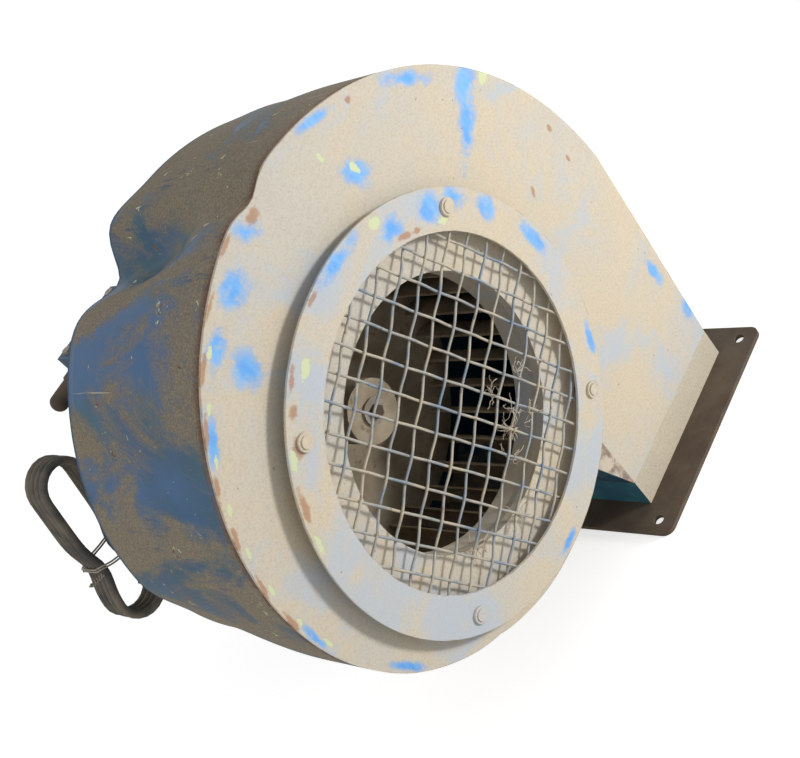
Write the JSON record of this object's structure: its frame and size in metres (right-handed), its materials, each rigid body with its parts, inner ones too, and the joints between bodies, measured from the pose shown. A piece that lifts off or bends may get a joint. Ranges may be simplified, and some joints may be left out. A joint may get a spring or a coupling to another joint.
{
  "type": "centrifugal combustion fan",
  "caption": "Scroll-cased centrifugal combustion air fan with a guarded round inlet, square outlet flange and a flange-mounted motor behind.",
  "frame": {"origin": "centre of the outlet flange's lower face, at its bolt pattern", "axes": "+Z from the flange up into the casing, -Y the inlet side, +Y the motor side; the fan axis runs along Y"},
  "size_m": [0.4642, 0.398, 0.4595],
  "materials": {
    "blue_paint": "worn satin, dusty",
    "dusty_paint": "blue paint under matte dust",
    "rusty_steel": "matte rust",
    "guard_wire": "worn satin",
    "dusty_steel": "matte dust",
    "zinc_steel": "dull zinc",
    "cast_grey": "painted casting",
    "core_steel": "dull",
    "copper": "enamelled copper",
    "black_plastic": "matte",
    "motor_paint": "satin",
    "cable_rubber": "dull rubber"
  },
  "bodies": {
    "casing": {"front_plate": "dusty_paint", "rear_plate": "blue_paint", "scroll_wrapper": "blue_paint", "outlet_collar": "rusty_steel", "outlet_flange": "rusty_steel", "inlet_cone": "dusty_paint", "guard_ring": "dusty_paint", "ring_spacers": "rusty_steel", "ring_screws": "zinc_steel", "guard_wires_upright": "guard_wire", "guard_wires_cross": "guard_wire", "front_bearing": "zinc_steel", "rear_bearing": "zinc_steel", "stator_core": "core_steel", "front_winding": "copper", "rear_winding": "copper", "motor_front_shield": "cast_grey", "motor_frame": "cast_grey", "motor_rear_shield": "cast_grey", "motor_bolts": "rusty_steel", "motor_nuts": "rusty_steel", "tie_rods": "zinc_steel", "fan_cowl": "motor_paint", "cowl_screws": "zinc_steel", "terminal_box": "motor_paint", "terminal_gasket": "cable_rubber", "terminal_lid": "motor_paint", "lid_screws": "zinc_steel", "terminal_block": "black_plastic", "blanking_plug": "rusty_steel", "cable_gland": "cable_rubber", "supply_cable": "cable_rubber", "cable_hank": "cable_rubber", "hank_tie": "zinc_steel", "cable_cores": "copper"},
    "rotor": {"impeller_backplate": "dusty_steel", "impeller_blades": "dusty_steel", "impeller_front_ring": "rusty_steel", "impeller_hub": "dusty_steel", "hub_rivets": "zinc_steel", "hub_washer": "zinc_steel", "hub_bolt": "rusty_steel", "shaft_key": "zinc_steel", "motor_shaft": "zinc_steel", "rotor_core": "zinc_steel", "cooling_fan": "black_plastic"}
  },
  "joints": [
    {"name": "rotor_spin", "type": "hinge", "parent": "casing", "child": "rotor", "pos_m": [-0.165, 0, 0.235], "axis": [0, 1, 0], "continuous": true}
  ]
}
